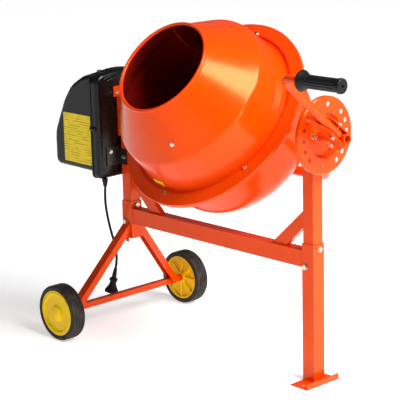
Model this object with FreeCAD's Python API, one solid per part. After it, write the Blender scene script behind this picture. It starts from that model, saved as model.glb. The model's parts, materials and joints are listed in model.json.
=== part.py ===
import FreeCAD, Part
import math
import os

# Tilting-drum concrete mixer, millimetres, +Z up, +X from the motor side to the lever side.
# The drum mouth leans towards -Y.  Everything is modelled about the middle of the two posts on the
# ground, and moved at the end so that the origin is the bottom centre of the bounding box.
# The tilting parts are modelled in a leaning frame: its Z is the drum axis, its origin is on the
# tilt axis, and lean() puts them in place.

V = FreeCAD.Vector
X = V(1, 0, 0)
Y = V(0, 1, 0)
Z = V(0, 0, 1)

# ---- frame ----
POST_X = 354.0
POST = 35.0
SLEEVE = 40.0
TUBE_WALL = 2.0
SLEEVE_TOP = 371.5
SLEEVE_BOTTOM = 262.0
POST_BOTTOM = 292.0
BAR_LOW = 306.5
BAR_HIGH = 350.5
BRACE_HIGH = 461.0
BRACE_LOW = 417.0
BRACE_FAR = 216.0
BRACE_NEAR = 266.0
BRACE_THICK = 16.0
FOOT_THICK = 3.0
FOOT_FRONT = -71.0
FOOT_BACK = 50.0
FOOT_EDGE = 42.5
FOOT_WIDTH = 60.0
FOOT_LIP = 16.0
FOOT_HOLE = (366.0, -52.0)
FOOT_HOLE_R = 5.5
BOLT_Z_HIGH = 358.5
BOLT_Z_LOW = 310.0
BOLT_SHIFT = -7.0

# ---- wheels and A-frame ----
AXLE_X = -396.5
WHEEL_R = 80.0
RIM_R = 65.5
WHEEL_OUT = 261.0
WHEEL_WIDE = 44.0
AXLE_TUBE_R = 10.5
AXLE_ROD_R = 6.0
AXLE_BEAM = 17.0
AXLE_TUBE_END = 218.0
LEG_TOP = (14.5, 300.0)
LEG_FOOT_Y = 189.0
LEG_WIDE = 26.0
LEG_DEEP = 20.0
LEG_WALL = 2.0

# ---- tilt axis, drum and yoke, in the leaning frame ----
TILT_Z = 657.0
DRUM_LEAN = 50.0
DRUM_X = 8.0
SHEET = 2.5
MOUTH_S = 249.0
MOUTH_R = 133.0
BEAD_R = 4.5
SHOULDER_S = 121.0
SHOULDER_R = 199.0
SHOULDER_ARC = 27.0
SEAM_S = 22.0
SEAM_R = 237.0
BOWL_S = -92.0
BOWL_R = 146.0
BOWL_ARC = 85.0
FLANGE_R = 264.0
GUARD_IN = 246.0
GUARD_OUT = 283.0
GUARD_RIM = 14.0
GUARD_BOLTS = 6
GUARD_BOLT_R = 252.0
GUARD_BOLT_PHASE = -33.0
BLADE_ANGLES = (-63.0, 117.0)
BLADE_BOLT_S = 169.0
BLADE_FOOT_R = 112.0
ARM_RIGHT = 308.0
ARM_LEFT = -300.0
ARM_RIGHT_LOW = 230.0
ARM_LEFT_LOW = -222.0
YOKE_R = 13.5
YOKE_WALL = 3.0
YOKE_S = -254.0
YOKE_BEND = 45.0
ELBOW_BEND = 26.0
TRUNNION_OUT = 472.0
BUSH_R = 21.0
SLEEVE_R = 21.0
SLEEVE_IN = -282.0
SLEEVE_OUT = -376.0
BEARING_R = 28.0
SPINDLE_R = 12.5
RUNNING = 0.05

# ---- ring gear and pinion ----
RING_TEETH = 200
PINION_TEETH = 10
GEAR_MODULE = 2.5
PINION_R = GEAR_MODULE * PINION_TEETH / 2
RING_R = GEAR_MODULE * RING_TEETH / 2
GEAR_FACE = 12.0
RING_TIP = 1.5
PINION_TIP = 2.5
TOOTH_GAP = 0.6
BACKLASH = 0.5
PRESSURE = math.radians(20)
SHAFT_R = 7.5

# ---- notch disc, lever and latch ----
DISC_X = 399.0
DISC_R = 100.0
DISC_SHEET = 2.0
DISC_RIM = 11.0
RECESS_R = 58.0
RECESS_DEEP = 14.0
HOLE_CIRCLE = 80.0
HOLE_R = 6.25
HOLE_PITCH = 20
HOLE_PHASE = 2.0
HOLES_LEFT_OUT = (60, 100, 240, 280)
LEVER_X = 453.5
LEVER_R = 11.0
LEVER_WALL = 2.0
LEVER_START = 20.0
LEVER_LONG = 278.0
LEVER_BEND = 32.0
PIVOT_S = 32.0
GRIP_START = 64.0
GRIP_END = 191.0
BRACKET_X = 424.0
BRACKET_SHEET = 3.0
BRACKET_DEEP = 43.0
PIN_GAP = 0.4
PIN_END = 441.0
PIN_R = 5.0

# ---- motor housing ----
COVER_X = -380.0
LIP_X = -414.0
COVER_END = -588.0
COVER_HALF = 92.0
SHELL_HALF = 90.0
COVER_LOW = 441.0
COVER_TOP = 753.0
COVER_WALL = 3.0
TRAY_EDGE = 13.0
SHELL_EDGE = 15.0
PULLEY_X = -399.0
PULLEY_WIDE = 12.0
BIG_PULLEY_R = 75.0
SMALL_PULLEY_R = 15.0
MOTOR_Z = 535.0
MOTOR_R = 54.0
BELT_THICK = 3.0
BELT_GAP = 0.3
SWITCH_X = -490.0
SWITCH_Z = 590.0
SWITCH_DEEP = 16.0
BUTTON_R = 9.0
BUTTON_OUT = 6.0

# ---- mains cord, from the gland to the plug ----
CORD_D = 7.5
PLUG_LONG = 72.0
CORD_ROUTE = [
    (-389, -68, 418),
    (-392, -69, 386),
    (-399, -58, 334),
    (-406, -41, 282),
    (-416, -18, 230),
    (-429, 0, 180),
    (-432, -6, 150),
]

nodes = {}


def add(name, *shapes):
    """Keep one sub-part under its node name."""
    nodes[name] = shapes[0] if len(shapes) == 1 else Part.makeCompound(list(shapes))


def block(x0, y0, z0, x1, y1, z1):
    return Part.makeBox(x1 - x0, y1 - y0, z1 - z0, V(x0, y0, z0))


def rod(start, direction, radius, length):
    return Part.makeCylinder(radius, length, start, direction)


def pipe(start, direction, outer, inner, length):
    return rod(start, direction, outer, length).cut(rod(start, direction, inner, length))


def square_tube(x, size, low, high):
    half = size / 2
    inner = half - TUBE_WALL
    outside = block(x - half, -half, low, x + half, half, high)
    return outside.cut(block(x - inner, -inner, low, x + inner, inner, high))


def prism(points, push):
    wire = Part.makePolygon(list(points) + [points[0]])
    return Part.Face(wire).extrude(push)


def across(direction):
    """A unit vector at right angles to a direction."""
    side = direction.cross(Z)
    if side.Length < 0.1:
        side = direction.cross(X)
    side.normalize()
    return side


def hexagon(start, direction, flats, height):
    aim = V(direction)
    aim.normalize()
    side = across(aim)
    other = aim.cross(side)
    radius = flats / math.sqrt(3)
    corners = []
    for k in range(6):
        angle = math.radians(60 * k)
        corners.append(start + side * (radius * math.cos(angle)) + other * (radius * math.sin(angle)))
    return prism(corners, aim * height)


def bolt(seat, out, size, reach):
    """A hexagon bolt: its head stands on the seat along out, and its shank goes the other way."""
    aim = V(out)
    aim.normalize()
    washer = rod(seat, aim, size * 0.98, 1.2)
    head = hexagon(seat + aim * 1.2, aim, size * 1.63, size * 0.65)
    shank = rod(seat - aim * reach, aim, size / 2, reach + 1.2)
    return shank.fuse([washer, head]).removeSplitter()


def nut(seat, out, size):
    body = hexagon(seat, out, size * 1.63, size * 0.8)
    aim = V(out)
    aim.normalize()
    return body.cut(rod(seat - aim, aim, size / 2, size))


def turned(outline, start=V(0, 0, 0), axis=Z):
    """A solid of revolution from (along, radius) points."""
    wire = Part.makePolygon([V(r, 0, s) for s, r in list(outline) + [outline[0]]])
    return stand(Part.Face(wire).revolve(V(0, 0, 0), Z, 360), start, axis)


def stand(shape, start, axis):
    """Turn a shape modelled about +Z so that its Z lies along an axis through start."""
    moved = shape.copy()
    moved.Placement = FreeCAD.Placement(start, FreeCAD.Rotation(Z, axis)).multiply(shape.Placement)
    return moved


def lean(shape):
    """From the leaning frame to the rest position."""
    moved = shape.copy()
    place = FreeCAD.Placement(V(0, 0, TILT_Z), FreeCAD.Rotation(X, DRUM_LEAN))
    moved.Placement = place.multiply(shape.Placement)
    return moved


def holes(shape, cutters):
    return shape.cut(Part.makeCompound(cutters))


def bent_tube(points, radius, wall, bends):
    """A round tube along straight runs joined by tangent arcs."""
    path = rounded_path(points, bends)
    first = (points[1] - points[0]).normalize()
    outer = swept(path, points[0], first, radius)
    inner = swept(path, points[0], first, radius - wall)
    return outer.cut(inner)


def corner_arc(last, corner, after, radius):
    """The arc that rounds one corner of a path."""
    come = (corner - last).normalize()
    leave = (after - corner).normalize()
    half_turn = come.getAngle(leave) / 2
    back = radius * math.tan(half_turn)
    inward = (leave - come).normalize()
    middle = corner + inward * (radius / math.cos(half_turn) - radius)
    return Part.Arc(corner - come * back, middle, corner + leave * back)


def rounded_path(points, radii):
    """Straight runs with each inner corner rounded by its own radius."""
    edges = []
    at = points[0]
    for last, corner, after, radius in zip(points, points[1:], points[2:], radii):
        arc = corner_arc(last, corner, after, radius)
        edges.append(Part.LineSegment(at, arc.StartPoint).toShape())
        edges.append(arc.toShape())
        at = arc.EndPoint
    edges.append(Part.LineSegment(at, points[-1]).toShape())
    return Part.Wire(edges)


def rounded_face(points, radii):
    """A flat face whose corners are rounded, or left sharp where the radius is 0."""
    edges = []
    ends = []
    count = len(points)
    for k in range(count):
        if radii[k]:
            arc = corner_arc(points[k - 1], points[k], points[(k + 1) % count], radii[k])
            edges.append(arc.toShape())
            ends.append((arc.StartPoint, arc.EndPoint))
        else:
            ends.append((points[k], points[k]))
    for k in range(count):
        edges.append(Part.LineSegment(ends[k - 1][1], ends[k][0]).toShape())
    return Part.Face(Part.Wire(Part.__sortEdges__(edges)))


def swept(path, start, direction, radius):
    section = Part.Wire(Part.makeCircle(radius, start, direction))
    return path.makePipeShell([section], True, False)


# ================= frame =================

def make_posts():
    for side, name, bearing in ((-1, "left_post", BEARING_R), (1, "right_post", BUSH_R)):
        x = side * POST_X
        post = square_tube(x, POST, POST_BOTTOM, TILT_Z)
        add(name, post.cut(rod(V(x - POST, 0, TILT_Z), X, bearing, 2 * POST)))


def make_sleeves():
    tab = block(-POST_X - 5, -SLEEVE / 2 - 3, SLEEVE_BOTTOM - 11, -POST_X + 6, -SLEEVE / 2, SLEEVE_BOTTOM + 18)
    add("left_sleeve", square_tube(-POST_X, SLEEVE, SLEEVE_BOTTOM, SLEEVE_TOP).fuse(tab).removeSplitter())
    add("right_leg", square_tube(POST_X, SLEEVE, FOOT_THICK, SLEEVE_TOP))


def make_crossbar():
    end = POST_X - SLEEVE / 2
    half = POST / 2
    outside = block(-end, -half, BAR_LOW, end, half, BAR_HIGH)
    inside = block(-end, -half + TUBE_WALL, BAR_LOW + TUBE_WALL, end, half - TUBE_WALL, BAR_HIGH - TUBE_WALL)
    add("crossbar", outside.cut(inside))


def make_braces():
    """Flat struts between the posts and the crossbar."""
    face = POST_X - POST / 2
    for side, name in ((-1, "left_brace"), (1, "right_brace")):
        outline = [(face, BRACE_HIGH), (face, BRACE_LOW), (BRACE_NEAR, BAR_HIGH), (BRACE_FAR, BAR_HIGH)]
        corners = [V(side * x, -BRACE_THICK / 2, z) for x, z in outline]
        add(name, prism(corners, Y * BRACE_THICK))


def make_foot():
    edge = POST_X + FOOT_EDGE
    plate = block(edge - FOOT_WIDTH, FOOT_FRONT, 0, edge, FOOT_BACK, FOOT_THICK)
    lip = block(edge - FOOT_THICK, FOOT_FRONT, 0, edge, FOOT_BACK, FOOT_LIP)
    hole = rod(V(FOOT_HOLE[0], FOOT_HOLE[1], -1), Z, FOOT_HOLE_R, FOOT_THICK + 2)
    add("foot_plate", plate.fuse(lip).removeSplitter().cut(hole))


def make_leg(side):
    """One leg of the A-frame: a channel whose web faces outwards, from the sleeve to the axle."""
    top = V(-POST_X, side * LEG_TOP[0], LEG_TOP[1])
    foot = V(AXLE_X, side * LEG_FOOT_Y, WHEEL_R)
    along = (foot - top).normalize()
    wide = (X - along * X.dot(along)).normalize()
    deep = along.cross(wide)
    if deep.y * side < 0:
        deep = deep * -1
    half_wide = LEG_WIDE / 2
    half_deep = LEG_DEEP / 2
    reach = (foot - top).Length + 6

    def bar(w, d_in, d_out, low, high):
        base = top + along * low
        corners = []
        for sw, d in ((-1, d_in), (1, d_in), (1, d_out), (-1, d_out)):
            corners.append(base + wide * (sw * w) + deep * d)
        return prism(corners, along * (high - low))

    channel = bar(half_wide, -half_deep, half_deep, -5, reach)
    hollow = bar(half_wide - LEG_WALL, -half_deep - 1, half_deep - LEG_WALL, -10, reach + 5)
    half = SLEEVE / 2
    sleeve = block(-POST_X - 60, -half, 150, -POST_X + 60, half, 400)
    below = block(AXLE_X - 60, -300, 0, AXLE_X + 60, 300, WHEEL_R - 8)
    return channel.cut([hollow, sleeve, axle_beam(), below])


def axle_beam():
    """A square beam that ends inside the legs, with a round collar from there to each wheel."""
    half = AXLE_BEAM / 2
    beam = block(AXLE_X - half, -LEG_FOOT_Y, WHEEL_R - half, AXLE_X + half, LEG_FOOT_Y, WHEEL_R + half)
    collars = []
    for side in (-1, 1):
        start = V(AXLE_X, side * (LEG_FOOT_Y - 12), WHEEL_R)
        collars.append(rod(start, Y * side, AXLE_TUBE_R, AXLE_TUBE_END - LEG_FOOT_Y + 12))
    return beam.fuse(collars).removeSplitter()


def make_a_frame():
    add("near_leg", make_leg(-1))
    add("far_leg", make_leg(1))
    bore = rod(V(AXLE_X, -AXLE_TUBE_END - 5, WHEEL_R), Y, AXLE_ROD_R + 0.2, 2 * AXLE_TUBE_END + 10)
    add("axle_beam", axle_beam().cut(bore))
    rod_end = WHEEL_OUT - 4
    add("axle_rod", rod(V(AXLE_X, -rod_end, WHEEL_R), Y, AXLE_ROD_R, 2 * rod_end))


def make_wheel(side, name):
    """Hub, tyre and cap about +Z, with the outer face up, then stood on the axle."""
    inner = -WHEEL_WIDE
    bore = AXLE_ROD_R + RUNNING
    boss = 16.0
    hub = turned([
        (inner + 1.5, bore), (inner + 13, bore), (inner + 13, RIM_R - 5), (-9.5, RIM_R - 5), (-9.5, bore),
        (0, bore), (0, 19), (-1, 21), (-4, 22.5), (-5, 26), (-5.5, 50), (-4.5, 53), (-1, 55), (0, 57), (0, 60),
        (-1.5, 62), (-1.5, RIM_R), (inner + 1.5, RIM_R), (inner + 1.5, RIM_R - 5), (inner + 9, RIM_R - 6),
        (inner + 9, boss + 1), (inner + 1.5, boss),
    ])
    ribs = []
    for k in range(8):
        rib = block(boss - 1, -4, inner + 4, RIM_R - 4, 4, inner + 10)
        rib.rotate(V(0, 0, 0), Z, 45 * k)
        ribs.append(rib)
    hub = hub.fuse(ribs).removeSplitter()
    tyre = turned([
        (inner, RIM_R + 5), (inner + 1, RIM_R), (-1, RIM_R), (0, RIM_R + 5), (0, WHEEL_R - 5),
        (-1.5, WHEEL_R - 1.5), (-5, WHEEL_R), (inner + 5, WHEEL_R), (inner + 1.5, WHEEL_R - 1.5),
        (inner, WHEEL_R - 5),
    ])
    cap = turned([(0, 0), (0, 17.5), (2.5, 17.5), (4.5, 15), (5, 0)])
    out = Y * side
    at = V(AXLE_X, side * WHEEL_OUT, WHEEL_R)
    add(name + "_hub", stand(hub, at, out))
    add(name + "_tyre", stand(tyre, at, out))
    add(name + "_cap", stand(cap, at, out))


def make_frame_bolts():
    pieces = []
    half = SLEEVE / 2
    for x in (-POST_X, POST_X):
        pieces.append(bolt(V(x + half, 0, BOLT_Z_HIGH), X, 8, SLEEVE + 8))
        pieces.append(nut(V(x - half, 0, BOLT_Z_HIGH), X * -1, 8))
        pieces.append(bolt(V(x + BOLT_SHIFT, -half, BOLT_Z_LOW), Y * -1, 8, SLEEVE + 8))
        pieces.append(nut(V(x + BOLT_SHIFT, half, BOLT_Z_LOW), Y, 8))
    add("frame_bolts", *pieces)


# ================= bearings on the posts and notch disc =================

def make_bearings():
    face = POST_X - POST / 2
    floor = DISC_X - RECESS_DEEP - DISC_SHEET
    bush = rod(V(face, 0, TILT_Z), X, BUSH_R, floor - face)
    plate = block(floor - 5, -40, TILT_Z - 44, floor, 48, TILT_Z + 24)
    bore = rod(V(face - 1, 0, TILT_Z), X, YOKE_R + RUNNING, 60)
    add("trunnion_bush", bush.fuse(plate).removeSplitter().cut(bore))
    add("left_bearing", pipe(V(-POST_X - POST / 2, 0, TILT_Z), X, BEARING_R, SLEEVE_R + RUNNING, POST))


def disc_bolt_places():
    return ((-28.0, 0.0), (34.0, -31.0))


def make_disc():
    floor = DISC_X - RECESS_DEEP
    sheet = DISC_SHEET
    slope = 6.0
    outline = [
        (DISC_X - DISC_RIM, DISC_R), (DISC_X - 3, DISC_R), (DISC_X, DISC_R - 3), (DISC_X, RECESS_R),
        (floor, RECESS_R - slope), (floor, YOKE_R + 1), (floor - sheet, YOKE_R + 1),
        (floor - sheet, RECESS_R - slope + sheet), (DISC_X - sheet, RECESS_R + sheet),
        (DISC_X - sheet, DISC_R - 4), (DISC_X - 4, DISC_R - sheet), (DISC_X - DISC_RIM, DISC_R - sheet),
    ]
    disc = turned(outline, V(0, 0, TILT_Z), X)
    cutters = []
    for k in range(360 // HOLE_PITCH):
        if k * HOLE_PITCH in HOLES_LEFT_OUT:
            continue
        angle = math.radians(k * HOLE_PITCH + HOLE_PHASE)
        at = V(DISC_X - 6, HOLE_CIRCLE * math.cos(angle), TILT_Z + HOLE_CIRCLE * math.sin(angle))
        cutters.append(rod(at, X, HOLE_R, 10))
    add("tilt_disc", holes(disc, cutters))


# ================= tilting yoke =================

def make_yoke():
    """One tube: through the bush, down beside the drum, under it, and up to the pinion sleeve."""
    points = [
        V(TRUNNION_OUT, 0, 0), V(ARM_RIGHT, 0, 0), V(ARM_RIGHT_LOW, 0, YOKE_S), V(ARM_LEFT_LOW, 0, YOKE_S),
        V(ARM_LEFT, 0, 0),
    ]
    tube = bent_tube(points, YOKE_R, YOKE_WALL, [ELBOW_BEND, YOKE_BEND, YOKE_BEND])
    spindle = turned([
        (YOKE_S - 20, 0), (YOKE_S - 20, 8), (YOKE_S + 6, 8), (YOKE_S + 6, SPINDLE_R), (-152, SPINDLE_R),
        (-152, 8), (-136, 8), (-136, 0),
    ], V(DRUM_X, 0, 0))
    sleeve_space = rod(V(SLEEVE_OUT, 0, 0), X, SLEEVE_R, SLEEVE_IN - SLEEVE_OUT)
    add("yoke_tube", lean(tube.cut([spindle, sleeve_space])))
    add("drum_spindle", lean(spindle))
    add("spindle_nut", lean(nut(V(DRUM_X, 0, -152), Z, 16)))
    long = SLEEVE_IN - SLEEVE_OUT
    sleeve = pipe(V(SLEEVE_OUT, 0, 0), X, SLEEVE_R, SHAFT_R + RUNNING, long)
    relief = pipe(V(SLEEVE_OUT + 15, 0, 0), X, SLEEVE_R - 4, SHAFT_R, long - 30)
    add("pinion_sleeve", lean(sleeve.cut(relief)))


def make_lever_bracket():
    web_end = BRACKET_X + BRACKET_SHEET
    inner = YOKE_R + 0.1
    outer = inner + BRACKET_SHEET
    edge = BRACKET_X + BRACKET_DEEP
    web = block(BRACKET_X, -outer, -32, web_end, outer, 116)
    side_outline = [
        (BRACKET_X, -32), (BRACKET_X + 12, -32), (edge, -8), (edge, 62), (BRACKET_X + 12, 116), (BRACKET_X, 116),
    ]
    low = prism([V(x, -outer, z) for x, z in side_outline], Y * BRACKET_SHEET)
    high = prism([V(x, inner, z) for x, z in side_outline], Y * BRACKET_SHEET)
    trunnion = rod(V(BRACKET_X - 5, 0, 0), X, YOKE_R, 60)
    pin = rod(V(BRACKET_X - 5, pin_place()[0], pin_place()[1]), X, PIN_R + RUNNING, 20)
    pivot = rod(V(LEVER_X, -40, PIVOT_S), Y, 4.0, 80)
    add("lever_bracket", lean(web.fuse([low, high]).removeSplitter().cut([trunnion, pin, pivot])))
    shank = rod(V(LEVER_X, -outer - 2, PIVOT_S), Y, 4.0, 2 * outer + 8)
    head = hexagon(V(LEVER_X, -outer, PIVOT_S), Y * -1, 13, 5.5)
    end_nut = hexagon(V(LEVER_X, outer, PIVOT_S), Y, 13, 6.5)
    add("pivot_bolt", lean(shank.fuse([head, end_nut]).removeSplitter()))


def pin_place():
    angle = math.radians(HOLE_PHASE)
    return (-HOLE_CIRCLE * math.sin(angle), HOLE_CIRCLE * math.cos(angle))


def make_lever():
    end_x = LEVER_X + GRIP_END - 10
    points = [V(LEVER_X, 0, LEVER_START), V(LEVER_X, 0, LEVER_LONG), V(end_x, 0, LEVER_LONG)]
    tube = bent_tube(points, LEVER_R, LEVER_WALL, [LEVER_BEND])
    pivot = rod(V(LEVER_X, -40, PIVOT_S), Y, 4.0 + RUNNING, 80)
    add("lever_tube", lean(tube.cut(pivot)))
    long = GRIP_END - GRIP_START
    grip = turned([
        (0, LEVER_R), (0, 24), (2, 26), (5, 26), (18, 18.5), (22, 17), (26, 16.5), (long - 12, 16.5),
        (long - 9, 18.5), (long - 2, 18.5), (long, 17), (long, 3), (long - 10, 3), (long - 10, LEVER_R),
    ], V(LEVER_X + GRIP_START, 0, LEVER_LONG), X)
    add("lever_grip", lean(grip))
    y, z = pin_place()
    tip = DISC_X + PIN_GAP
    long = PIN_END - tip
    pin = turned([(0, 0), (0, 3), (3, PIN_R), (long, PIN_R), (long, 0)], V(tip, y, z), X)
    collar = pipe(V(BRACKET_X - 14, y, z), X, 7.5, PIN_R, 3)
    add("latch_pin", lean(pin.fuse(collar).removeSplitter()))


# ================= drum =================

def arc_points(centre, radius, start, end):
    """Three (s, r) points of an arc, from angles measured from straight out towards the mouth."""
    found = []
    for angle in (start, (start + end) / 2, end):
        turn = math.radians(angle)
        found.append((centre[0] + radius * math.sin(turn), centre[1] + radius * math.cos(turn)))
    return found


def tangent_angle(point, centre, radius, side):
    """The arc angle at which a line from a point touches the arc, on the mouth side (-1) or below."""
    ds = point[0] - centre[0]
    dr = point[1] - centre[1]
    to_point = math.degrees(math.atan2(ds, dr))
    return to_point + side * math.degrees(math.acos(radius / math.hypot(ds, dr)))


def section(parts):
    """A face from a list of ("line" or "arc", points) in (s, r)."""
    edges = []
    for kind, points in parts:
        spots = [V(r, 0, s) for s, r in points]
        if kind == "arc":
            edges.append(Part.Arc(*spots).toShape())
        else:
            for a, b in zip(spots, spots[1:]):
                edges.append(Part.LineSegment(a, b).toShape())
    return Part.Face(Part.Wire(edges))


def upper_section(offset):
    """Cone, shoulder and band of the upper shell, moved inwards by an offset."""
    arc = SHOULDER_ARC - offset
    mouth = (MOUTH_S - 4, MOUTH_R - offset)
    seam = (SEAM_S, SEAM_R - offset)
    centre = (SHOULDER_S, SHOULDER_R)
    top = tangent_angle(mouth, centre, arc, -1)
    low = tangent_angle(seam, centre, arc, 1)
    return mouth, arc_points(centre, arc, top, low), seam


def lower_section(offset):
    """Wall, rounded corner and flat bottom of the bowl, moved inwards by an offset."""
    arc = BOWL_ARC - offset
    seam = (SEAM_S, SEAM_R - offset)
    centre = (BOWL_S, BOWL_R)
    corner = arc_points(centre, arc, tangent_angle(seam, centre, arc, -1), -90)
    return seam, corner, (BOWL_S - arc, 0)


def drum_place(shape):
    moved = shape.copy()
    moved.translate(V(DRUM_X, 0, 0))
    return lean(moved)


def make_drum_shells():
    mouth, shoulder, seam = upper_section(0)
    mouth_in, shoulder_in, seam_in = upper_section(SHEET)
    face = section([
        ("line", [mouth, shoulder[0]]),
        ("arc", shoulder),
        ("line", [shoulder[2], seam, seam_in, shoulder_in[2]]),
        ("arc", list(reversed(shoulder_in))),
        ("line", [shoulder_in[0], mouth_in, mouth]),
    ])
    cone = face.revolve(V(0, 0, 0), Z, 360)
    bead = Part.makeTorus(MOUTH_R, BEAD_R, V(0, 0, MOUTH_S - 2), Z)
    upper = cone.fuse(bead).removeSplitter()

    seam, corner, middle = lower_section(0)
    seam_in, corner_in, middle_in = lower_section(SHEET)
    hub_hole = 28.2
    face = section([
        ("line", [seam, corner[0]]),
        ("arc", corner),
        ("line", [corner[2], (middle[0], hub_hole), (middle_in[0], hub_hole), corner_in[2]]),
        ("arc", list(reversed(corner_in))),
        ("line", [corner_in[0], seam_in, seam]),
    ])
    bowl = face.revolve(V(0, 0, 0), Z, 360)
    flange = pipe(V(0, 0, SEAM_S - SHEET), Z, FLANGE_R, SEAM_R - SHEET, SHEET)
    lower = bowl.fuse(flange).removeSplitter()

    add("drum_upper", drum_place(upper))
    add("drum_lower", drum_place(lower))


def spot(s, r, degrees):
    """A point of the drum from its height, radius and angle."""
    angle = math.radians(degrees)
    return V(r * math.cos(angle), r * math.sin(angle), s)


def cone_radius(s):
    mouth, shoulder, _ = upper_section(0)
    return mouth[1] + (mouth[0] - s) * (shoulder[0][1] - mouth[1]) / (mouth[0] - shoulder[0][0])


def cone_out(degrees):
    """The outward normal of the cone at an angle."""
    mouth, shoulder, _ = upper_section(0)
    rise = shoulder[0][1] - mouth[1]
    run = mouth[0] - shoulder[0][0]
    angle = math.radians(degrees)
    size = math.hypot(rise, run)
    return V(run * math.cos(angle) / size, run * math.sin(angle) / size, rise / size)


def make_blade(name, degrees):
    """A plate that stands in from the wall, with two feet that are bolted to the shells."""
    _, shoulder_in, seam_in = upper_section(SHEET)
    _, corner_in, _ = lower_section(SHEET)
    wall = [
        ("line", [(234, cone_radius(234) - SHEET - 0.6), shoulder_in[0]]),
        ("arc", shoulder_in),
        ("line", [shoulder_in[2], seam_in, corner_in[0]]),
        ("arc", corner_in),
    ]
    floor = corner_in[2][0]
    plate = section(wall + [("line", [
        corner_in[2], (floor, 96), (floor + 40, 92), (75, 140), (135, 130), (182, 118), (232, 124),
        (234, cone_radius(234) - SHEET - 0.6),
    ])])
    thick = 3.0
    fin = plate.extrude(Y * thick)
    wide = 26.0
    foot_low = block(96, 0, floor, 128, wide, floor + thick)
    out = V(cone_out(0))
    slope = V(out.z, 0, -out.x)
    base = V(cone_radius(BLADE_BOLT_S) - SHEET - 0.6, 0, BLADE_BOLT_S) - out * 0.4
    corners = [base + slope * 18, base - slope * 18, base - slope * 18 - out * thick, base + slope * 18 - out * thick]
    foot_high = prism(corners, Y * wide)
    blade = fin.fuse([foot_low, foot_high]).removeSplitter()
    blade.translate(Y * (-wide / 2))
    blade = blade.common(drum_inside())
    blade.rotate(V(0, 0, 0), Z, degrees)
    add(name, drum_place(blade))


def drum_inside():
    """The space inside the two shells."""
    mouth_in, shoulder_in, seam_in = upper_section(SHEET)
    _, corner_in, middle_in = lower_section(SHEET)
    face = section([
        ("line", [mouth_in, shoulder_in[0]]),
        ("arc", shoulder_in),
        ("line", [shoulder_in[2], seam_in, corner_in[0]]),
        ("arc", corner_in),
        ("line", [corner_in[2], middle_in, (mouth_in[0], 0), mouth_in]),
    ])
    return face.revolve(V(0, 0, 0), Z, 360)


def make_guard():
    sheet = 2.0
    low = SEAM_S
    outline = [
        (low, GUARD_IN), (low, GUARD_OUT - sheet), (low + sheet - GUARD_RIM, GUARD_OUT - sheet),
        (low + sheet - GUARD_RIM, GUARD_OUT), (low + sheet - 2, GUARD_OUT), (low + sheet, GUARD_OUT - 2),
        (low + sheet, GUARD_IN),
    ]
    bolts = []
    for k in range(GUARD_BOLTS):
        angle = GUARD_BOLT_PHASE + 360 * k / GUARD_BOLTS
        bolts.append(bolt(spot(low + sheet, GUARD_BOLT_R, angle), Z, 6, 4 + sheet))
    add("guard_ring", drum_place(turned(outline)))
    add("guard_bolts", drum_place(Part.makeCompound(bolts)))


def make_ring_gear():
    """A crown gear: straight radial teeth that point away from the mouth."""
    root = PINION_R + PINION_TIP + TOOTH_GAP
    tip = PINION_R - RING_TIP
    top = SEAM_S - SHEET
    in_r = RING_R - GEAR_FACE / 2
    ring = pipe(V(0, 0, root), Z, FLANGE_R, in_r - 3, top - root)
    half = math.pi * GEAR_MODULE / 4 - BACKLASH / 4
    spread = math.tan(PRESSURE)
    deep = root + 0.5
    corners = [
        (-half - (deep - PINION_R) * spread, deep), (-half + RING_TIP * spread, tip),
        (half - RING_TIP * spread, tip), (half + (deep - PINION_R) * spread, deep),
    ]
    tooth = prism([V(in_r, y, s) for y, s in corners], X * GEAR_FACE)
    teeth = []
    for k in range(RING_TEETH):
        copy = tooth.copy()
        copy.rotate(V(0, 0, 0), Z, 360 * k / RING_TEETH)
        teeth.append(copy)
    add("ring_gear", drum_place(ring.fuse(teeth)))


def make_drum_hub():
    bottom = BOWL_S - BOWL_ARC
    hub = turned([
        (YOKE_S + YOKE_R + 3, SPINDLE_R + RUNNING), (YOKE_S + YOKE_R + 3, 28), (bottom - 4, 28), (bottom - 4, 56),
        (bottom, 56), (bottom, 28), (-130, 28), (-127, 24), (-127, 0), (-131, 0), (-131, 21), (-153, 21),
        (-153, SPINDLE_R + RUNNING),
    ])
    add("drum_hub", drum_place(hub))
    bolts = [bolt(spot(bottom - 4, 43, 72 * k), Z * -1, 8, 14) for k in range(5)]
    for angle in BLADE_ANGLES:
        at = spot(BLADE_BOLT_S, cone_radius(BLADE_BOLT_S), angle)
        bolts.append(bolt(at, cone_out(angle), 6, 14))
        bolts.append(bolt(spot(bottom, BLADE_FOOT_R, angle), Z * -1, 8, 14))
    add("blade_bolts", drum_place(Part.makeCompound(bolts)))


# ================= drive =================

def involute_angle(radius, base):
    tilt = math.acos(base / radius)
    return math.tan(tilt) - tilt


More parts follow.
